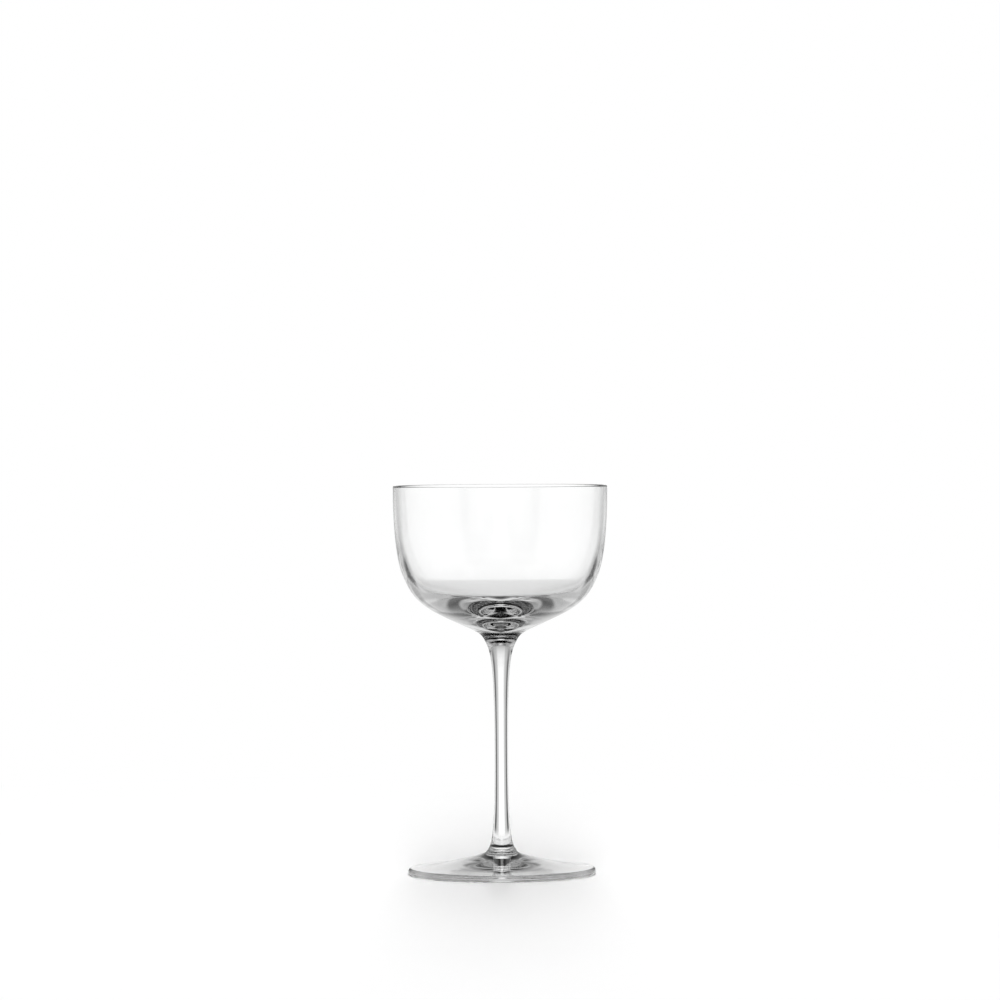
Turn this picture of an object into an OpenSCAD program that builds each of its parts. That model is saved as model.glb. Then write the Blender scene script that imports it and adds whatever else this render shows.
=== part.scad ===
// Nick and Nora glass: a small stemmed cocktail glass of clear glass.
// It is made from three gathers of glass: a blown bowl, a drawn stem and a pressed foot.
// They are hot-sealed at two flat faces: the hub, where the stem stands on the foot,
// and the neck, where the bowl sits on the stem.
// Millimetres, +Z up. The origin is the middle of the foot, on the table.

/* [Bowl] */
// Height of the bowl, from its seal on the stem to the rim
bowl_h = 58; // [50:1:68]
// Outer diameter of the rim
rim_d = 80; // [70:1:92]
// Thickness of the glass at the rim, which is fire-polished to a full round
rim_wall = 1.1; // [0.8:0.1:1.6]
// Thickness of the solid glass between the tip of the cavity and the neck
base_t = 7.9; // [5.8:0.1:9.8]

/* [Stem] */
// Length of the stem between its two seals
stem_l = 78.8; // [60:0.2:100]
// Diameter of the stem at its slimmest place
waist_d = 5.1; // [4:0.1:7]
// Diameter of the seal between the stem and the bowl
neck_d = 11.8; // [9:0.1:14]
// Diameter of the seal between the stem and the foot
hub_d = 12; // [9.6:0.1:15]

/* [Foot] */
// Diameter of the foot
foot_d = 70; // [62:1:80]
// Height of the foot at the seal under the stem
hub_h = 8.2; // [6.6:0.1:10]
// Thickness of the foot's edge, which is a full round
edge_t = 2.5; // [2:0.1:3.2]
// Depth of the hollow under the middle of the foot
hollow_depth = 0.8; // [0.4:0.1:1.2]
// Width of the flat ring that the glass rests on
rest_w = 2.2; // [1.4:0.1:3]

/* [Finish] */
// Straight pieces in each curve of an outline
curve_steps = 22; // [12:1:30]
// Straight pieces in each full round of an edge
edge_steps = 12; // [8:1:16]
// Facets round the axis in the preview
$fn = 120; // [48:8:160]

/* [Hidden] */
glass_tint = [0.84, 0.89, 0.91, 0.5];

rim_r = rim_d / 2;
neck_r = neck_d / 2;
waist_r = waist_d / 2;
hub_r = hub_d / 2;
foot_r = foot_d / 2;
lip_r = rim_wall / 2;
edge_r = edge_t / 2;

// Heights of the two seals above the table
hub_z = hub_h;
neck_z = hub_h + stem_l;

// Outside of the bowl. Each pair is a share of the way out from the neck to the rim and
// a share of the way up to the lip. The flare opens from the neck, the belly turns it
// upright, and the side runs on to the rim.
neck_pull_shares = [0.034, 0.039];
flare_pull_shares = [0.050, 0.0525];
flare_shares = [0.230, 0.0995];
belly_pull_shares = [0.7845, 0.2565];
belly_shares = [0.900, 0.435];
side_pull_shares = [1, 0.820];
// How far each curve carries on straight past the place where the last one ended, as a
// share of the last one's own pull
flare_carry_share = 2.34;
belly_carry_share = 0.715;

// Inside of the bowl, as shares of the mouth's radius and of the depth from floor to lip.
// The wall thickens below the lip, turns in at the shoulder and runs down as a shallow cone
// to a small round tip.
mouth_pull_shares = [0.982, 0.692];
shoulder_pull_shares = [0.970, 0.406];
shoulder_shares = [0.788, 0.241];
floor_pull_shares = [0.025, 0];
shoulder_carry_share = 0.77;

// Side of the stem, as shares of its length
hub_pull_share = 0.035;
lower_pull_share = 0.080;
waist_share = 0.480;
upper_pull_share = 0.903;
neck_start_share = 0.9455;
// How far those pulls have already gone from the hub or the neck towards the waist
hub_slim_share = 0.720;
neck_slim_share = 0.655;

// Top of the foot, as shares of the way out from the hub to the edge and of the drop
crown_pull_shares = [0.032, 0.175];
apron_pull_shares = [0.645, 0.849];
// Hollow under the foot, as shares of the radius inside the resting ring
hollow_start_share = 0.70;
hollow_end_share = 0.36;

// Point of a cubic curve from a to d that pulls towards b and then c, t of the way along
function curve_point(a, b, c, d, t) =
    pow(1 - t, 3) * a
    + 3 * pow(1 - t, 2) * t * b
    + 3 * (1 - t) * t * t * c
    + pow(t, 3) * d;

// Points of that curve, without its first one
function curve(a, b, c, d) =
    [for (i = [1 : curve_steps]) curve_point(a, b, c, d, i / curve_steps)];

// Point at the given shares of the way from one corner to the opposite one
function at_shares(from, to, shares) =
    [from.x + shares.x * (to.x - from.x), from.y + shares.y * (to.y - from.y)];

// Pull that carries on straight through a point, away from the pull before it
function carry_on(pull, point, share) = point + share * (point - pull);

// Points of a half circle round a centre, from one angle to another, without its first one
function half_round(centre, radius, from, to) =
    [for (i = [1 : edge_steps])
        centre + radius * [cos(from + (to - from) * i / edge_steps),
                           sin(from + (to - from) * i / edge_steps)]];

// Outside of the bowl, from the neck up to the lip, in the bowl's own heights
function bowl_outside() =
    let (
        neck = [neck_r, 0],
        lip = [rim_r, bowl_h - lip_r],
        flare_pull = at_shares(neck, lip, flare_pull_shares),
        flare = at_shares(neck, lip, flare_shares),
        belly_pull = at_shares(neck, lip, belly_pull_shares),
        belly = at_shares(neck, lip, belly_shares)
    )
    concat(
        [neck],
        curve(neck, at_shares(neck, lip, neck_pull_shares), flare_pull, flare),
        curve(flare, carry_on(flare_pull, flare, flare_carry_share), belly_pull, belly),
        curve(belly, carry_on(belly_pull, belly, belly_carry_share),
              at_shares(neck, lip, side_pull_shares), lip)
    );

// Inside of the bowl, from the lip down to the middle of the floor
function bowl_inside() =
    let (
        floor_mid = [0, base_t],
        mouth = [rim_r - rim_wall, bowl_h - lip_r],
        shoulder_pull = at_shares(floor_mid, mouth, shoulder_pull_shares),
        shoulder = at_shares(floor_mid, mouth, shoulder_shares)
    )
    concat(
        curve(mouth, at_shares(floor_mid, mouth, mouth_pull_shares), shoulder_pull, shoulder),
        curve(shoulder, carry_on(shoulder_pull, shoulder, shoulder_carry_share),
              at_shares(floor_mid, mouth, floor_pull_shares), floor_mid)
    );

// Side of the stem, from the hub up to the neck, in the stem's own heights
function stem_side() =
    let (
        hub = [hub_r, 0],
        waist = [waist_r, stem_l * waist_share],
        neck = [neck_r, stem_l],
        hub_pull = [hub_r + (waist_r - hub_r) * hub_slim_share, stem_l * hub_pull_share],
        lower_pull = [waist_r, stem_l * lower_pull_share],
        upper_pull = [waist_r, stem_l * upper_pull_share],
        neck_start = [neck_r + (waist_r - neck_r) * neck_slim_share,
                      stem_l * neck_start_share]
    )
    concat(
        [hub],
        curve(hub, hub_pull, lower_pull, waist),
        curve(waist, upper_pull, neck_start, neck)
    );

// Top of the foot, from the hub out to its edge
function foot_top() =
    let (hub = [hub_r, hub_h], edge = [foot_r - edge_r, edge_t])
    concat(
        [hub],
        curve(hub, at_shares(hub, edge, crown_pull_shares),
              at_shares(hub, edge, apron_pull_shares), edge)
    );

// Hollow under the foot, from the resting ring in to the middle
function foot_hollow() =
    let (ring_r = foot_r - edge_r - rest_w)
    concat(
        [[ring_r, 0]],
        curve([ring_r, 0], [ring_r * hollow_start_share, hollow_depth],
              [ring_r * hollow_end_share, hollow_depth], [0, hollow_depth])
    );

// The blown bowl: thin at the rim, with thick solid glass under its cone-shaped bottom
module bowl() {
    color(glass_tint)
        translate([0, 0, neck_z])
            rotate_extrude()
                polygon(concat(
                    [[0, 0]],
                    bowl_outside(),
                    half_round([rim_r - lip_r, bowl_h - lip_r], lip_r, 0, 180),
                    bowl_inside()
                ));
}

// The drawn stem: solid, slimmest below its middle and flared at both seals
module stem() {
    color(glass_tint)
        translate([0, 0, hub_z])
            rotate_extrude()
                polygon(concat([[0, 0]], stem_side(), [[0, stem_l]]));
}

// The pressed foot: a low cone with a round edge, hollow beneath inside its resting ring
module foot() {
    color(glass_tint)
        rotate_extrude()
            polygon(concat(
                [[0, hub_h]],
                foot_top(),
                half_round([foot_r - edge_r, edge_r], edge_r, 90, -90),
                foot_hollow()
            ));
}

bowl();
stem();
foot();
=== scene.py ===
"""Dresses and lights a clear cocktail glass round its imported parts.

The glass is made of three gathers, melted together at two flat seals: a blown bowl, a drawn
stem and a pressed foot. Each is turned from its outline by a tree of geometry nodes.
Lengths are in metres, +Z is up, and the origin is the middle of the foot, on the table.
"""

import logging
import math
from dataclasses import dataclass, field
from enum import Enum
from typing import ClassVar

import bpy
from mathutils import Matrix, Vector


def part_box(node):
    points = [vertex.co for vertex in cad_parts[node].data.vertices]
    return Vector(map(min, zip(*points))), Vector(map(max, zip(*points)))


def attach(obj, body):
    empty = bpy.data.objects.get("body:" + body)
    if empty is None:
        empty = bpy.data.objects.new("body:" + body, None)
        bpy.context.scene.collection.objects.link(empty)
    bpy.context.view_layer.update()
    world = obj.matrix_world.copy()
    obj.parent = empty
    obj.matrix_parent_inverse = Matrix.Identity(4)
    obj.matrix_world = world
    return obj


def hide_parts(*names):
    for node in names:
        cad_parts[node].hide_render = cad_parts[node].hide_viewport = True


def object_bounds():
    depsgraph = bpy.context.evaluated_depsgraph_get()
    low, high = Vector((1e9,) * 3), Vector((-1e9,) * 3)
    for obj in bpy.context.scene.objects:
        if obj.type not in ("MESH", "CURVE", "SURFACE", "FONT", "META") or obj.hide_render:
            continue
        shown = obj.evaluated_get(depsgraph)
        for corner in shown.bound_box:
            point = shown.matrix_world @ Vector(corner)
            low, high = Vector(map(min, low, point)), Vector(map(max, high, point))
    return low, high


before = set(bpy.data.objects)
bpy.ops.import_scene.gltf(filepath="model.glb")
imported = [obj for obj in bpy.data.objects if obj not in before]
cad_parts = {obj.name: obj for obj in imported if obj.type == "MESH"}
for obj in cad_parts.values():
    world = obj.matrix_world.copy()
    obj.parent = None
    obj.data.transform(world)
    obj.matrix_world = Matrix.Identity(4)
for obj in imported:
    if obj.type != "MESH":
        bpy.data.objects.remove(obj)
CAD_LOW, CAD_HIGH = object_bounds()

MM = 0.001
# A count of meetings above this is at least one, and a count below it is none.
ONCE = 0.5
log = logging.getLogger("glass")

Point = tuple[float, float]
Limits = tuple[float | None, float | None]
Socket = bpy.types.NodeSocket
Value = Socket | float


def linear(shown: float) -> float:
    """Gives the strength of light that a screen shows at a given grey.

    Args:
        shown: The grey on the screen, where 0 is black, 1 is white and more is brighter.

    Returns:
        The strength, where 1 is white.
    """
    toe, toe_slope, lift, power = 0.04045, 12.92, 0.055, 2.4
    if shown <= toe:
        return shown / toe_slope
    return ((shown + lift) / (1 + lift)) ** power


def between(start: Point, end: Point, shares: Point) -> Point:
    """Gives the point at two shares of the way from one corner to the opposite one.

    Args:
        start: The first corner, as radius and height.
        end: The opposite corner.
        shares: The share of the way out, and the share of the way up.

    Returns:
        The point, as radius and height.
    """
    return (
        start[0] + shares[0] * (end[0] - start[0]),
        start[1] + shares[1] * (end[1] - start[1]),
    )


def carried_on(pull: Point, point: Point, share: float) -> Point:
    """Gives the pull that carries on straight through a point.

    Args:
        pull: The pull that came before the point.
        point: The point that both stretches share.
        share: How far the new pull lies beyond the point, as a share of the first one.

    Returns:
        The pull after the point, as radius and height.
    """
    return (
        point[0] + share * (point[0] - pull[0]),
        point[1] + share * (point[1] - pull[1]),
    )


@dataclass(frozen=True)
class Stretch:
    """One cubic stretch of an outline, as points of radius and height.

    Attributes:
        name: What the stretch is on the glass.
        start: Where it starts.
        first_pull: What it leaves towards.
        second_pull: What it arrives from.
        end: Where it ends.
        flat: Whether it is a straight line.
    """

    name: str
    start: Point
    first_pull: Point
    second_pull: Point
    end: Point
    flat: bool = False

    def inputs(self) -> dict[str, Point]:
        """Gives the named inputs that the stretch brings to its tree."""
        return {
            f"{self.name} start": self.start,
            f"{self.name} first pull": self.first_pull,
            f"{self.name} second pull": self.second_pull,
            f"{self.name} end": self.end,
        }


def straight(name: str, start: Point, end: Point) -> Stretch:
    """Makes a straight stretch of an outline.

    Args:
        name: What the stretch is on the glass.
        start: Where it starts.
        end: Where it ends.

    Returns:
        The stretch, with its pulls at the thirds of the line.
    """
    third = 1 / 3
    return Stretch(
        name,
        start,
        between(start, end, (third, third)),
        between(start, end, (1 - third, 1 - third)),
        end,
        flat=True,
    )


def quarter_round(name: str, start: Point, end: Point, corner: Point) -> Stretch:
    """Makes a quarter of a circle.

    Args:
        name: What the stretch is on the glass.
        start: Where it starts.
        end: Where it ends.
        corner: Where the tangents at its two ends cross.

    Returns:
        The stretch, true to a circle within a few ten-thousandths of its radius.
    """
    reach = 0.5523
    return Stretch(
        name,
        start,
        between(start, corner, (reach, reach)),
        between(end, corner, (reach, reach)),
        end,
    )


class Graph:
    """Adds nodes to a node tree and joins them up."""

    def __init__(self, tree: bpy.types.NodeTree) -> None:
        """Takes the tree to work on.

        Args:
            tree: The node tree that gets the nodes.
        """
        self.tree = tree

    def add(
        self,
        kind: str,
        settings: dict[str, object] | None = None,
        inputs: dict[str | int, object] | None = None,
    ) -> bpy.types.Node:
        """Adds a node.

        Args:
            kind: The node's type name.
            settings: The node's own properties to set.
            inputs: What goes into its sockets, by name or place. A socket is joined, and
                any other value becomes the socket's own.

        Returns:
            The new node.
        """
        node = self.tree.nodes.new(kind)
        for name, value in (settings or {}).items():
            setattr(node, name, value)
        for key, value in (inputs or {}).items():
            if isinstance(value, Socket):
                self.tree.links.new(value, node.inputs[key])
            else:
                node.inputs[key].default_value = value
        return node

    def maths(self, operation: str, *values: Value) -> Socket:
        """Adds a calculation with one, two or three values.

        Args:
            operation: What to do with the values.
            *values: The values, in the operation's own order.

        Returns:
            The socket that holds the result.
        """
        node = self.add("ShaderNodeMath", {"operation": operation}, dict(enumerate(values)))
        return node.outputs[0]

    def span(self, value: Socket, low: float, high: float) -> Socket:
        """Turns a value into a smooth share of the way between two limits.

        Args:
            value: The value to place.
            low: The value that gives 0, which may be the higher one.
            high: The value that gives 1.

        Returns:
            The socket that holds the share.
        """
        node = self.add(
            "ShaderNodeMapRange",
            {"interpolation_type": "SMOOTHSTEP"},
            {"Value": value, "From Min": low, "From Max": high},
        )
        return node.outputs[0]

    def blend(self, share: Value, first: object, second: object) -> Socket:
        """Blends two colours.

        Args:
            share: How much of the second colour there is.
            first: The first colour, as four numbers or a socket.
            second: The second colour.

        Returns:
            The socket that holds the blend.
        """
        factor, colour_a, colour_b, result = 0, 6, 7, 2
        node = self.add(
            "ShaderNodeMix",
            {"data_type": "RGBA"},
            {factor: share, colour_a: first, colour_b: second},
        )
        return node.outputs[result]

    def mix(self, share: Value, first: Value, second: Value) -> Socket:
        """Blends two plain values.

        Args:
            share: How much of the second value there is.
            first: The first value.
            second: The second value.

        Returns:
            The socket that holds the blend.
        """
        factor, value_a, value_b = 0, 2, 3
        node = self.add(
            "ShaderNodeMix",
            {"data_type": "FLOAT"},
            {factor: share, value_a: first, value_b: second},
        )
        return node.outputs[0]


@dataclass(frozen=True)
class GlassFinish:
    """Clear soda glass, with the faint unevenness that its making leaves.

    Attributes:
        name: The finish's name.
        tint: What the glass lets through, as red, green and blue.
        pale_tint: What it lets through where its batch is clearest.
        wave_pitch: The distance from one slow wave of the surface to the next.
        wave_height: The height of those waves.
        wave_detail: How many finer waves each of them carries.
        haze_pitch: The distance from one worn or bright patch to the next.
        haze_detail: How many finer patches each of them carries.
        haze_limits: The strengths of a patch at which wear begins and is full.
        haze: The roughness of the brightest patches and of the most worn.
        ior: How strongly the glass bends light.
    """

    name: str
    tint: tuple[float, float, float] = (0.985, 0.988, 0.987)
    pale_tint: tuple[float, float, float] = (0.998, 0.999, 0.999)
    wave_pitch: float = 22 * MM
    wave_height: float = 0.004 * MM
    wave_detail: float = 1.0
    haze_pitch: float = 9 * MM
    haze_detail: float = 2.0
    haze_limits: tuple[float, float] = (0.35, 0.75)
    haze: tuple[float, float] = (0.0, 0.012)
    ior: float = 1.52

    def material(self) -> bpy.types.Material:
        """Makes the material.

        Returns:
            The glass, patterned on object coordinates.
        """
        made = bpy.data.materials.new(self.name)
        made.use_nodes = True
        graph = Graph(made.node_tree)
        made.node_tree.nodes.clear()
        place = graph.add("ShaderNodeTexCoord").outputs["Object"]
        wave = graph.add(
            "ShaderNodeTexNoise",
            inputs={"Vector": place, "Scale": 1 / self.wave_pitch, "Detail": self.wave_detail},
        ).outputs[0]
        patch = graph.add(
            "ShaderNodeTexNoise",
            inputs={"Vector": place, "Scale": 1 / self.haze_pitch, "Detail": self.haze_detail},
        ).outputs[0]
        bump = graph.add(
            "ShaderNodeBump",
            inputs={"Strength": 1.0, "Distance": self.wave_height, "Height": wave},
        )
        rough = graph.add(
            "ShaderNodeMapRange",
            inputs={
                "Value": patch,
                "From Min": self.haze_limits[0],
                "From Max": self.haze_limits[1],
                "To Min": self.haze[0],
                "To Max": self.haze[1],
            },
        )
        tint = graph.blend(wave, (*self.tint, 1.0), (*self.pale_tint, 1.0))
        shader = graph.add(
            "ShaderNodeBsdfPrincipled",
            inputs={
                "Base Color": tint,
                "Roughness": rough.outputs[0],
                "Normal": bump.outputs[0],
                "Transmission Weight": 1.0,
                "IOR": self.ior,
            },
        )
        graph.add("ShaderNodeOutputMaterial", inputs={"Surface": shader.outputs[0]})
        return made


@dataclass(frozen=True)
class SealFinish:
    """A hot seal, where two gathers are one glass and light goes straight through."""

    name: str = "hot_seal"

    def material(self) -> bpy.types.Material:
        """Makes the material.

        Returns:
            A surface that neither bends nor reflects light.
        """
        made = bpy.data.materials.new(self.name)
        made.use_nodes = True
        graph = Graph(made.node_tree)
        made.node_tree.nodes.clear()
        shader = graph.add("ShaderNodeBsdfTransparent")
        graph.add("ShaderNodeOutputMaterial", inputs={"Surface": shader.outputs[0]})
        return made


class LatheTree:
    """A tree of geometry nodes that turns an outline about the Z axis.

    Attributes:
        PIVOT: The radius of the ring that carries the outline, next to nothing.
        WELD: How close two points have to be to become one.
        CREASE: The angle between two faces past which their edge stays sharp.
        LEVEL: How close to a seal's height the middle of its faces lies.
    """

    PIVOT: ClassVar[float] = 0.001 * MM
    WELD: ClassVar[float] = 0.0025 * MM
    CREASE: ClassVar[float] = math.radians(30)
    LEVEL: ClassVar[float] = 0.002 * MM

    def __init__(self, name: str, stretches: list[Stretch]) -> None:
        """Builds the tree.

        Args:
            name: The tree's name.
            stretches: The outline, in order round the piece.
        """
        self.stretches = stretches
        self.tree = bpy.data.node_groups.new(name, "GeometryNodeTree")
        self.graph = Graph(self.tree)
        self.identifiers: dict[str, str] = {}
        sockets = self.tree.interface
        sockets.new_socket("Geometry", in_out="OUTPUT", socket_type="NodeSocketGeometry")
        for label in ("Turn steps", "Curve steps", "Flat steps"):
            self._add_input(label, "NodeSocketInt")
        for label in ("Lower seal height", "Upper seal height"):
            self._add_input(label, "NodeSocketFloat")
        for stretch in stretches:
            for label in stretch.inputs():
                self._add_input(label, "NodeSocketVector")
        self.entry = self.graph.add("NodeGroupInput").outputs
        self.glass_node: bpy.types.Node | None = None
        self.seal_node: bpy.types.Node | None = None
        self._join_up()

    def _add_input(self, label: str, kind: str) -> None:
        """Adds a named input.

        Args:
            label: The input's name.
            kind: The type of its socket.
        """
        item = self.tree.interface.new_socket(label, in_out="INPUT", socket_type=kind)
        self.identifiers[label] = item.identifier

    def _outline(self) -> list[Socket]:
        """Makes a curve of each stretch.

        Returns:
            The curves' sockets, in order.
        """
        curves = []
        for stretch in self.stretches:
            start, first_pull, second_pull, end = (
                self.entry[label] for label in stretch.inputs()
            )
            node = self.graph.add(
                "GeometryNodeCurvePrimitiveBezierSegment",
                inputs={
                    "Resolution": self.entry["Flat steps" if stretch.flat else "Curve steps"],
                    "Start": start,
                    "Start Handle": first_pull,
                    "End Handle": second_pull,
                    "End": end,
                },
            )
            curves.append(node.outputs[0])
        return curves

    def _at_height(self, height: Socket) -> Socket:
        """Picks the faces whose middle lies at a height.

        Args:
            height: The height.

        Returns:
            The socket that holds the choice.
        """
        place = self.graph.add("GeometryNodeInputPosition").outputs[0]
        parts = self.graph.add("ShaderNodeSeparateXYZ", inputs={0: place})
        compare = self.graph.add(
            "FunctionNodeCompare",
            {"data_type": "FLOAT", "operation": "EQUAL"},
            {"A": parts.outputs["Z"], "B": height, "Epsilon": self.LEVEL},
        )
        return compare.outputs[0]

    def _join_up(self) -> None:
        """Turns the outline, welds it, shades it and gives it its two materials."""
        graph = self.graph
        joined = graph.add("GeometryNodeJoinGeometry")
        for curve in reversed(self._outline()):
            self.tree.links.new(curve, joined.inputs[0])
        ring = graph.add(
            "GeometryNodeCurvePrimitiveCircle",
            {"mode": "RADIUS"},
            {"Resolution": self.entry["Turn steps"], "Radius": self.PIVOT},
        )
        turned = graph.add(
            "GeometryNodeCurveToMesh",
            inputs={"Curve": ring.outputs[0], "Profile Curve": joined.outputs[0]},
        )
        upright = graph.add(
            "GeometryNodeTransform",
            inputs={"Geometry": turned.outputs[0], "Rotation": (math.pi, 0.0, 0.0)},
        )
        welded = graph.add(
            "GeometryNodeMergeByDistance",
            inputs={"Geometry": upright.outputs[0], "Distance": self.WELD},
        )
        smooth = graph.add(
            "GeometryNodeSetShadeSmooth",
            {"domain": "FACE"},
            {"Geometry": welded.outputs[0], "Shade Smooth": True},
        )
        angle = graph.add("GeometryNodeInputMeshEdgeAngle")
        crease = graph.add(
            "FunctionNodeCompare",
            {"data_type": "FLOAT", "operation": "GREATER_THAN"},
            {"A": angle.outputs[0], "B": self.CREASE},
        )
        edged = graph.add(
            "GeometryNodeSetShadeSmooth",
            {"domain": "EDGE"},
            {
                "Geometry": smooth.outputs[0],
                "Selection": crease.outputs[0],
                "Shade Smooth": False,
            },
        )
        real = graph.add("GeometryNodeRealizeInstances", inputs={0: edged.outputs[0]})
        self.glass_node = graph.add(
            "GeometryNodeSetMaterial", inputs={"Geometry": real.outputs[0]}
        )
        sealed = graph.add(
            "FunctionNodeBooleanMath",
            {"operation": "OR"},
            {
                0: self._at_height(self.entry["Lower seal height"]),
                1: self._at_height(self.entry["Upper seal height"]),
            },
        )
        self.seal_node = graph.add(
            "GeometryNodeSetMaterial",
            inputs={"Geometry": self.glass_node.outputs[0], "Selection": sealed.outputs[0]},
        )
        graph.add("NodeGroupOutput", inputs={0: self.seal_node.outputs[0]})

    def mesh(
        self,
        name: str,
        glass: bpy.types.Material,
        seal: bpy.types.Material,
        values: dict[str, object],
    ) -> bpy.types.Mesh:
        """Runs the tree once.

        Args:
            name: The mesh's name.
            glass: The material of the glass.
            seal: The material of the flat seals.
            values: The value of each input that isn't a point of the outline, by name.

        Returns:
            A plain mesh.
        """
        self.glass_node.inputs["Material"].default_value = glass
        self.seal_node.inputs["Material"].default_value = seal
        carrier = bpy.data.objects.new(name + "_outline", bpy.data.meshes.new(name))
        bpy.context.scene.collection.objects.link(carrier)
        modifier = carrier.modifiers.new("turning", "NODES")
        modifier.node_group = self.tree
        for label, value in values.items():
            modifier[self.identifiers[label]] = value
        for stretch in self.stretches:
            for label, (radius, height) in stretch.inputs().items():
                modifier[self.identifiers[label]] = (radius, height, 0.0)
        shown = bpy.context.evaluated_depsgraph_get()
        made = bpy.data.meshes.new_from_object(carrier.evaluated_get(shown), depsgraph=shown)
        made.name = name
        carrier.modifiers.remove(modifier)
        bpy.data.objects.remove(carrier)
        return made


@dataclass
class Gather:
    """A gather of glass, turned about the Z axis.

    Attributes:
        finish: How the glass looks.
        turn_steps: Facets round the axis.
        curve_steps: Facets along each curved stretch of the outline.
        flat_steps: Facets along each straight stretch.
        node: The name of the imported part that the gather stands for.
        radius: Half the width of that part.
        foot_z: The height of its lowest point.
        top_z: The height of its highest point.
    """

    finish: GlassFinish
    turn_steps: int = 256
    curve_steps: int = 40
    flat_steps: int = 2
    node: ClassVar[str] = ""

    def __post_init__(self) -> None:
        """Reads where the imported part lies."""
        low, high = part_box(self.node)
        self.radius = (high.x - low.x) / 2
        self.foot_z = low.z
        self.top_z = high.z

    def outline(self) -> list[Stretch]:
        """Gives the outline, in order round the piece."""
        raise NotImplementedError

    def seals(self) -> tuple[float, float]:
        """Gives the heights of the flat seals, the same one twice where there is one."""
        raise NotImplementedError

    def build(self, seal: bpy.types.Material) -> bpy.types.Object:
        """Turns the gather, dresses it and puts it in its part's place.

        Args:
            seal: The material of the flat seals.

        Returns:
            The finished piece.
        """
        tree = LatheTree(f"{self.node}_lathe", self.outline())
        lower, upper = self.seals()
        mesh = tree.mesh(
            self.node,
            self.finish.material(),
            seal,
            {
                "Turn steps": self.turn_steps,
                "Curve steps": self.curve_steps,
                "Flat steps": self.flat_steps,
                "Lower seal height": lower,
                "Upper seal height": upper,
            },
        )
        piece = bpy.data.objects.new(f"glass_{self.node}", mesh)
        bpy.context.scene.collection.objects.link(piece)
        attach(piece, "root")
        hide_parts(self.node)
        log.info("%s: %d faces", piece.name, len(mesh.polygons))
        return piece


@dataclass
class Bowl(Gather):
    """The blown bowl: thin at the rim, with thick glass under its cone-shaped bottom.

    Attributes:
        rim_wall: The thickness of the glass at the rim.
        base_t: The thickness of the glass between the cavity and the neck.
        neck_r: The radius of the seal on the stem.

    A pair of shares is a place on the outline: how far out and how far up it lies, from the
    neck to the lip on the outside, and from the floor to the lip inside. A carry share says
    how far a curve goes on straight past the place where the last one ended.
    """

    node: ClassVar[str] = "bowl"
    rim_wall: float = 1.1 * MM
    base_t: float = 7.9 * MM
    neck_r: float = 5.9 * MM
    neck_pull_shares: Point = (0.034, 0.039)
    flare_pull_shares: Point = (0.050, 0.0525)
    flare_shares: Point = (0.230, 0.0995)
    belly_pull_shares: Point = (0.7845, 0.2565)
    belly_shares: Point = (0.900, 0.435)
    side_pull_shares: Point = (1.0, 0.820)
    flare_carry_share: float = 2.34
    belly_carry_share: float = 0.715
    mouth_pull_shares: Point = (0.982, 0.692)
    shoulder_pull_shares: Point = (0.970, 0.406)
    shoulder_shares: Point = (0.788, 0.241)
    floor_pull_shares: Point = (0.025, 0.0)
    shoulder_carry_share: float = 0.77

    def outline(self) -> list[Stretch]:
        """Gives the outline, from the seal out, up, over the rim and down to the floor."""
        return [
            straight("Seal", (0.0, self.foot_z), (self.neck_r, self.foot_z)),
            *self._outside(),
            *self._rim(),
            *self._inside(),
        ]

    def _lip_z(self) -> float:
        """Gives the height at which the round of the rim begins."""
        return self.top_z - self.rim_wall / 2

    def _outside(self) -> list[Stretch]:
        """Gives the flare, the belly and the side."""
        neck, lip = (self.neck_r, self.foot_z), (self.radius, self._lip_z())
        flare_pull = between(neck, lip, self.flare_pull_shares)
        flare = between(neck, lip, self.flare_shares)
        belly_pull = between(neck, lip, self.belly_pull_shares)
        belly = between(neck, lip, self.belly_shares)
        return [
            Stretch("Flare", neck, between(neck, lip, self.neck_pull_shares), flare_pull, flare),
            Stretch(
                "Belly",
                flare,
                carried_on(flare_pull, flare, self.flare_carry_share),
                belly_pull,
                belly,
            ),
            Stretch(
                "Side",
                belly,
                carried_on(belly_pull, belly, self.belly_carry_share),
                between(neck, lip, self.side_pull_shares),
                lip,
            ),
        ]

    def _rim(self) -> list[Stretch]:
        """Gives the fire-polished round of the rim."""
        lip_z, middle = self._lip_z(), self.radius - self.rim_wall / 2
        crest = (middle, self.top_z)
        inner = self.radius - self.rim_wall
        return [
            quarter_round("Outer lip", (self.radius, lip_z), crest, (self.radius, self.top_z)),
            quarter_round("Inner lip", crest, (inner, lip_z), (inner, self.top_z)),
        ]

    def _inside(self) -> list[Stretch]:
        """Gives the cavity, from the lip down to the middle of its floor."""
        floor = (0.0, self.foot_z + self.base_t)
        mouth = (self.radius - self.rim_wall, self._lip_z())
        shoulder_pull = between(floor, mouth, self.shoulder_pull_shares)
        shoulder = between(floor, mouth, self.shoulder_shares)
        return [
            Stretch(
                "Wall",
                mouth,
                between(floor, mouth, self.mouth_pull_shares),
                shoulder_pull,
                shoulder,
            ),
            Stretch(
                "Floor",
                shoulder,
                carried_on(shoulder_pull, shoulder, self.shoulder_carry_share),
                between(floor, mouth, self.floor_pull_shares),
                floor,
            ),
        ]

    def seals(self) -> tuple[float, float]:
        """Gives the height of the seal on the stem, twice."""
        return self.foot_z, self.foot_z


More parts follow.
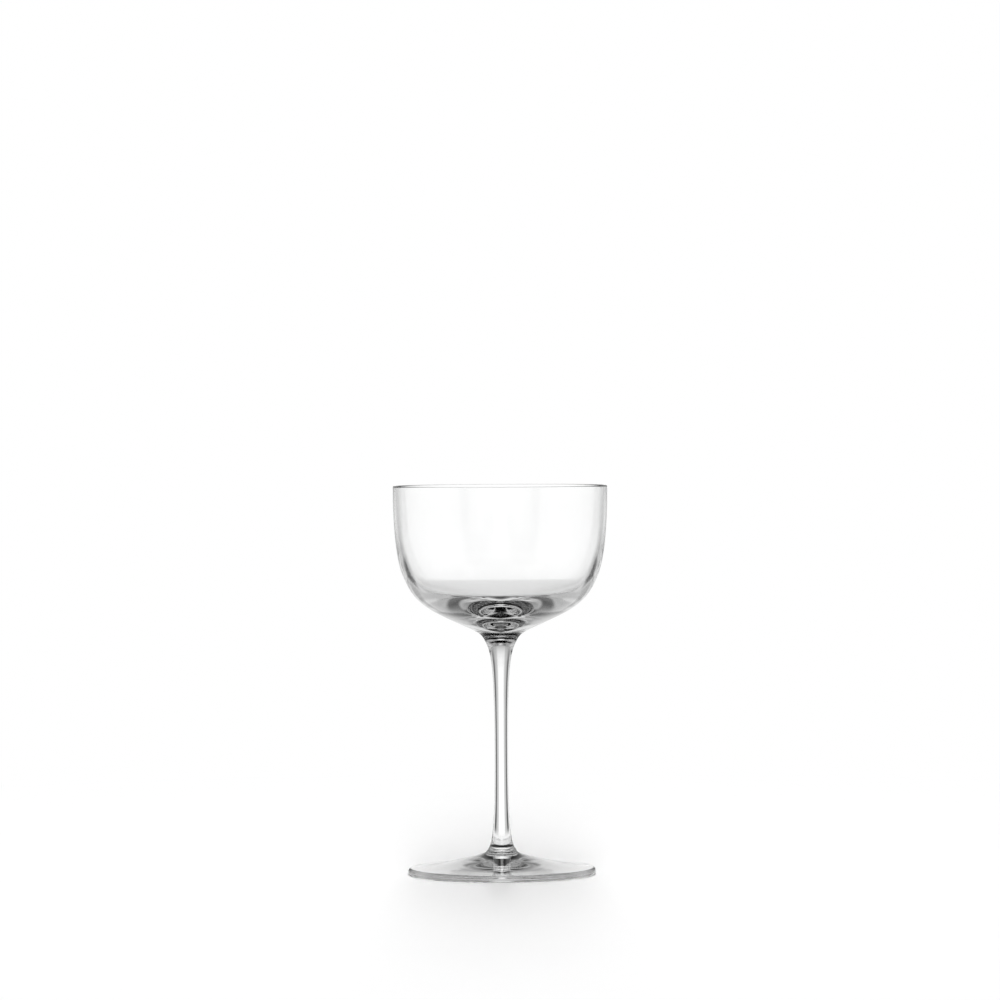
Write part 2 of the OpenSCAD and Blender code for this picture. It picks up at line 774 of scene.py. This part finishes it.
@dataclass
class Stem(Gather):
    """The drawn stem: solid, slimmest below its middle and flared at both seals.

    Attributes:
        waist_r: The radius at its slimmest place.
        neck_r: The radius of the seal under the bowl.

    A share is a part of the stem's length, from the hub up. The two slim shares say how much
    of its slimming the side has done by the first pull and before the neck.
    """

    node: ClassVar[str] = "stem"
    waist_r: float = 2.55 * MM
    neck_r: float = 5.9 * MM
    hub_pull_share: float = 0.035
    lower_pull_share: float = 0.080
    waist_share: float = 0.480
    upper_pull_share: float = 0.903
    neck_start_share: float = 0.9455
    hub_slim_share: float = 0.720
    neck_slim_share: float = 0.655

    def outline(self) -> list[Stretch]:
        """Gives the outline, from the hub seal out, up the side and in over the neck."""
        waist = (self.waist_r, self._up(self.waist_share))
        hub_pull = (
            self.radius + (self.waist_r - self.radius) * self.hub_slim_share,
            self._up(self.hub_pull_share),
        )
        neck_start = (
            self.neck_r + (self.waist_r - self.neck_r) * self.neck_slim_share,
            self._up(self.neck_start_share),
        )
        hub, neck = (self.radius, self.foot_z), (self.neck_r, self.top_z)
        return [
            straight("Hub seal", (0.0, self.foot_z), hub),
            Stretch(
                "Lower side", hub, hub_pull, (self.waist_r, self._up(self.lower_pull_share)), waist
            ),
            Stretch(
                "Upper side",
                waist,
                (self.waist_r, self._up(self.upper_pull_share)),
                neck_start,
                neck,
            ),
            straight("Neck seal", neck, (0.0, self.top_z)),
        ]

    def _up(self, share: float) -> float:
        """Gives the height at a share of the stem's length."""
        return self.foot_z + share * (self.top_z - self.foot_z)

    def seals(self) -> tuple[float, float]:
        """Gives the heights of the seals at the hub and at the neck."""
        return self.foot_z, self.top_z


@dataclass
class Foot(Gather):
    """The pressed foot: a low cone with a round edge, hollow beneath.

    Attributes:
        hub_r: The radius of the seal under the stem.
        edge_t: The thickness of the edge, which is a full round.
        hollow_depth: The depth of the hollow under the middle.
        rest_w: The width of the flat ring that the glass stands on.

    A pair of pull shares is how far out and how far down a pull lies, from the hub to the
    edge. The hollow's shares are parts of the radius inside the resting ring.
    """

    node: ClassVar[str] = "foot"
    hub_r: float = 6 * MM
    edge_t: float = 2.5 * MM
    hollow_depth: float = 0.8 * MM
    rest_w: float = 2.2 * MM
    crown_pull_shares: Point = (0.032, 0.175)
    apron_pull_shares: Point = (0.645, 0.849)
    hollow_start_share: float = 0.70
    hollow_end_share: float = 0.36

    def outline(self) -> list[Stretch]:
        """Gives the outline, from the hollow out, round the edge and in over the hub."""
        edge_r = self.edge_t / 2
        middle = self.radius - edge_r
        ring = middle - self.rest_w
        hub, shore = (self.hub_r, self.top_z), (middle, self.foot_z + self.edge_t)
        hollow_z = self.foot_z + self.hollow_depth
        widest = (self.radius, self.foot_z + edge_r)
        return [
            Stretch(
                "Hollow",
                (0.0, hollow_z),
                (ring * self.hollow_end_share, hollow_z),
                (ring * self.hollow_start_share, hollow_z),
                (ring, self.foot_z),
            ),
            straight("Rest", (ring, self.foot_z), (middle, self.foot_z)),
            quarter_round("Lower edge", (middle, self.foot_z), widest, (self.radius, self.foot_z)),
            quarter_round("Upper edge", widest, shore, (self.radius, shore[1])),
            Stretch(
                "Apron",
                shore,
                between(hub, shore, self.apron_pull_shares),
                between(hub, shore, self.crown_pull_shares),
                hub,
            ),
            straight("Seal", hub, (0.0, self.top_z)),
        ]

    def seals(self) -> tuple[float, float]:
        """Gives the height of the seal under the stem, twice."""
        return self.top_z, self.top_z


class Seen(Enum):
    """What a path of light has met, in the words of the Light Path node."""

    CAMERA = "Is Camera Ray"
    MIRRORED = "Is Glossy Ray"
    REFRACTED = "Is Transmission Ray"
    REFLECTED = "Glossy Depth"
    AFTER_TABLE = "Diffuse Depth"


def in_glass(graph: Graph) -> Socket:
    """Tells whether something is seen in or through the glass by the eye.

    Light that has been on the table is left out, so that the table's own shadow is true.

    Args:
        graph: The tree to add the test to.

    Returns:
        The socket that is 1 for such light and 0 for any other.
    """
    path = graph.add("ShaderNodeLightPath").outputs
    bent = graph.maths("MAXIMUM", path[Seen.MIRRORED.value], path[Seen.REFRACTED.value])
    first = graph.maths("LESS_THAN", path[Seen.AFTER_TABLE.value], ONCE)
    return graph.maths("MULTIPLY", bent, first)


@dataclass(frozen=True)
class TableFinish:
    """A white table that keeps the glass's soft shadow.

    Attributes:
        name: The finish's name.
        glow: How much of its white the table has of its own.
        colour: How much of the light that falls on it the table sends back.
        plain_from: How far from the glass the table starts to turn plain white.
        plain_at: How far from the glass it is plain white.
    """

    name: str = "white_table"
    glow: float = 0.02
    colour: float = 0.80
    plain_from: float = 250 * MM
    plain_at: float = 500 * MM

    def material(self) -> bpy.types.Material:
        """Makes the material.

        Returns:
            A white surface that what is seen in or through the glass passes by.
        """
        made = bpy.data.materials.new(self.name)
        made.use_nodes = True
        graph = Graph(made.node_tree)
        made.node_tree.nodes.clear()
        place = graph.add("ShaderNodeTexCoord").outputs["Object"]
        away = graph.add("ShaderNodeVectorMath", {"operation": "LENGTH"}, {0: place})
        plain = graph.span(away.outputs["Value"], self.plain_from, self.plain_at)
        glow = graph.add(
            "ShaderNodeEmission", inputs={"Strength": graph.mix(plain, self.glow, 1.0)}
        )
        grey = graph.mix(plain, self.colour, 0.0)
        paint = graph.add("ShaderNodeBsdfDiffuse", inputs={"Color": grey})
        table = graph.add(
            "ShaderNodeAddShader", inputs={0: glow.outputs[0], 1: paint.outputs[0]}
        )
        clear = graph.add("ShaderNodeBsdfTransparent")
        mixed = graph.add(
            "ShaderNodeMixShader",
            inputs={0: in_glass(graph), 1: table.outputs[0], 2: clear.outputs[0]},
        )
        graph.add("ShaderNodeOutputMaterial", inputs={"Surface": mixed.outputs[0]})
        return made


@dataclass(frozen=True)
class Card:
    """A soft-edged part of the room, painted over the parts before it.

    It reaches the same way to the left and to the right, in front of the glass and behind it.
    Angles are in degrees, and a limit of None leaves that side open.

    Attributes:
        name: What the part is.
        grey: The grey that it would show on a screen, where 255 is white and more is brighter.
        turns: Its two ends, as angles off the line through the camera and the glass.
        rises: Its lower and upper edge, as angles above the horizon.
        soft_ends: The width over which its ends fade.
        soft_edges: The width over which its lower and upper edge fade.
    """

    name: str
    grey: int
    turns: Limits = (None, None)
    rises: Limits = (None, None)
    soft_ends: float = 4.0
    soft_edges: float = 4.0

    def share(self, graph: Graph, turn: Socket, rise: Socket) -> Socket:
        """Adds how much of a direction the part covers.

        Args:
            graph: The world's tree.
            turn: The direction's angle off the line through the camera and the glass.
            rise: The direction's angle above the horizon.

        Returns:
            The socket that holds the share, from 0 for none to 1 for all.
        """
        across = self._between(graph, turn, self.turns, self.soft_ends)
        upward = self._between(graph, rise, self.rises, self.soft_edges)
        return graph.maths("MULTIPLY", across, upward)

    @staticmethod
    def _between(graph: Graph, angle: Socket, limits: Limits, soft: float) -> Value:
        """Adds how far an angle lies between two limits.

        Args:
            graph: The world's tree.
            angle: The angle.
            limits: The two limits, where None is open.
            soft: The width over which each limit fades.

        Returns:
            A socket or a number, from 0 for outside to 1 for inside.
        """
        (low, high), fade = limits, soft / 2
        inside = 1.0 if low is None else graph.span(angle, low - fade, low + fade)
        if high is None:
            return inside
        return graph.maths("MULTIPLY", inside, graph.span(angle, high + fade, high - fade))


@dataclass
class Room:
    """The studio round the glass, painted by direction.

    To the eye it is plain white. Light that only passes through the glass comes from a white
    table and backdrop, pale walls and a grey ceiling, with a dark card on either side. Light
    that the glass has reflected comes from a greyer room, with a lit strip in a dark front
    card, a dark ceiling and a dark table close by. Onto the table the room sends the light of
    one long strip overhead, in line with the camera.

    Attributes:
        through: What the glass lets through, each part over the ones before it.
        bounced: What the glass reflects, each part over the ones before it.
        strip_half_width: Half the width of the overhead strip, in degrees.
        strip_edge: The width of the strip's soft edge, in degrees.
        strip_gain: How bright the table's light is, where 1 makes a white surface white.
    """

    WHITE: ClassVar[int] = 255
    through: tuple[Card, ...] = (
        Card("wall", 205),
        Card("backdrop", 270, turns=(None, 15), rises=(None, 45), soft_ends=8),
        Card("side card", 20, turns=(30, 45), soft_ends=15),
        Card("side wall", 250, turns=(50, None), soft_ends=20),
        Card("ceiling", 175, rises=(15, None), soft_edges=50),
        Card("table", 250, rises=(None, -14), soft_edges=6),
    )
    bounced: tuple[Card, ...] = (
        Card("wall", 195),
        Card("backdrop", 235, turns=(None, 25), rises=(None, 20), soft_ends=8, soft_edges=6),
        Card("side panel", 235, turns=(55, None), rises=(-10, -5), soft_edges=10),
        Card("side card", 105, turns=(35, 45), rises=(-5, 25), soft_edges=20),
        Card("front card", 0, turns=(None, 25), rises=(2, None), soft_ends=40),
        Card("ceiling", 0, rises=(40, None), soft_edges=25),
        Card("upper panel", 165, turns=(45, 70), rises=(20, 65), soft_ends=6, soft_edges=6),
        Card("light strip", 265, turns=(None, 6), rises=(2, 22), soft_ends=8, soft_edges=6),
        Card("shaded table", 35, turns=(15, 40), rises=(-25, -15), soft_ends=15),
        Card("near table", 0, rises=(None, -35), soft_edges=25),
    )
    strip_half_width: float = 4.0
    strip_edge: float = 3.0
    strip_gain: float = 1.24

    def build(self) -> None:
        """Paints the room as the scene's world."""
        world = bpy.data.worlds.new("studio_room")
        bpy.context.scene.world = world
        world.use_nodes = True
        world.node_tree.nodes.clear()
        graph = Graph(world.node_tree)
        way = graph.add("ShaderNodeTexCoord").outputs["Generated"]
        parts = graph.add("ShaderNodeSeparateXYZ", inputs={0: way}).outputs
        path = graph.add("ShaderNodeLightPath").outputs
        across, along = (graph.maths("ABSOLUTE", parts[part]) for part in "XY")
        turn = graph.maths("DEGREES", graph.maths("ARCTAN2", across, along))
        rise = graph.maths("DEGREES", graph.maths("ARCSINE", parts["Z"]))
        reflected = graph.maths("GREATER_THAN", path[Seen.REFLECTED.value], ONCE)
        shown = graph.mix(
            reflected,
            self._painted(graph, self.through, turn, rise),
            self._painted(graph, self.bounced, turn, rise),
        )
        lit = graph.mix(in_glass(graph), self._strip(graph, parts), shown)
        strength = graph.mix(path[Seen.CAMERA.value], lit, 1.0)
        light = graph.add("ShaderNodeBackground", inputs={"Strength": strength})
        light.inputs["Color"].default_value = (1.0, 1.0, 1.0, 1.0)
        graph.add("ShaderNodeOutputWorld", inputs={"Surface": light.outputs[0]})

    def _painted(
        self, graph: Graph, cards: tuple[Card, ...], turn: Socket, rise: Socket
    ) -> Value:
        """Paints one look of the room.

        Args:
            graph: The world's tree.
            cards: The parts of the room, each over the ones before it.
            turn: The direction's angle off the line through the camera and the glass.
            rise: The direction's angle above the horizon.

        Returns:
            The strength of light.
        """
        shown = 0.0
        for card in cards:
            strength = linear(card.grey / self.WHITE)
            shown = graph.mix(card.share(graph, turn, rise), shown, strength)
        return shown

    def _strip(self, graph: Graph, way: bpy.types.NodeOutputs) -> Socket:
        """Adds the light that falls on the table.

        Args:
            graph: The world's tree.
            way: The three parts of the direction.

        Returns:
            The socket that holds the strength of light.
        """
        across = graph.maths("ABSOLUTE", way["X"])
        half, edge = math.radians(self.strip_half_width), math.radians(self.strip_edge) / 2
        inside = graph.maths("SUBTRACT", 1.0, graph.span(across, half - edge, half + edge))
        # A strip of this strength, from horizon to horizon, makes a level white table white.
        whitening = math.pi / (4 * half)
        return graph.maths("MULTIPLY", inside, self.strip_gain * whitening)


@dataclass
class Camera:
    """The camera, in front of the glass and a little above its rim.

    Attributes:
        distance: How far it stands from the glass's axis.
        height: How high it is above the table.
        lens: Its focal length, in millimetres.
        sensor: The width of its picture, in millimetres.
        tilt: How far it looks down, in degrees.
        roll: How far it leans clockwise, in degrees.
    """

    distance: float = 1.800
    height: float = 0.1697
    lens: float = 173.84
    sensor: float = 36.0
    tilt: float = 0.9593
    roll: float = 0.3098

    def build(self) -> None:
        """Sets the camera up and makes it the scene's."""
        data = bpy.data.cameras.new("camera")
        data.lens, data.sensor_width = self.lens, self.sensor
        camera = bpy.data.objects.new("camera", data)
        level = math.radians(90)
        lean = Matrix.Rotation(math.radians(-self.roll), 4, "Z")
        look = Matrix.Rotation(level - math.radians(self.tilt), 4, "X")
        place = Matrix.Translation(Vector((0.0, -self.distance, self.height)))
        camera.matrix_world = place @ look @ lean
        bpy.context.scene.collection.objects.link(camera)
        bpy.context.scene.camera = camera


@dataclass
class Studio:
    """The room, the table and the camera.

    Attributes:
        room: The room round the glass.
        camera: The camera.
        finish: How the table looks.
        table_size: The length of the table's sides.
        table_drop: How far the table lies under the foot's resting ring.
    """

    room: Room = field(default_factory=Room)
    camera: Camera = field(default_factory=Camera)
    finish: TableFinish = field(default_factory=TableFinish)
    table_size: float = 40.0
    table_drop: float = 0.05 * MM

    def build(self) -> None:
        """Makes the table, the room and the camera."""
        self._lay_table()
        self.room.build()
        self.camera.build()

    def _lay_table(self) -> None:
        """Lays the table just under the foot's resting ring."""
        half, level = self.table_size / 2, CAD_LOW.z - self.table_drop
        corners = [(-half, -half), (half, -half), (half, half), (-half, half)]
        mesh = bpy.data.meshes.new("table")
        mesh.from_pydata([(x, y, level) for x, y in corners], [], [(0, 1, 2, 3)])
        mesh.materials.append(self.finish.material())
        table = bpy.data.objects.new("table", mesh)
        bpy.context.scene.collection.objects.link(table)


def set_view() -> None:
    """Sets how the picture's light is shown, and how far light goes inside the glass."""
    scene = bpy.context.scene
    scene.view_settings.view_transform = "Standard"
    deepest = 32
    scene.cycles.max_bounces = deepest
    scene.cycles.transmission_bounces = deepest
    scene.cycles.glossy_bounces = deepest
    scene.cycles.transparent_max_bounces = deepest


def main() -> None:
    """Builds the glass, gather by gather, and then the studio round it."""
    logging.basicConfig(level=logging.INFO, format="%(name)s %(message)s")
    set_view()
    seal = SealFinish().material()
    for gather in (
        Bowl(GlassFinish("blown_glass")),
        Stem(GlassFinish("drawn_glass")),
        Foot(GlassFinish("pressed_glass")),
    ):
        gather.build(seal)
    Studio().build()


if __name__ == "__main__":
    main()
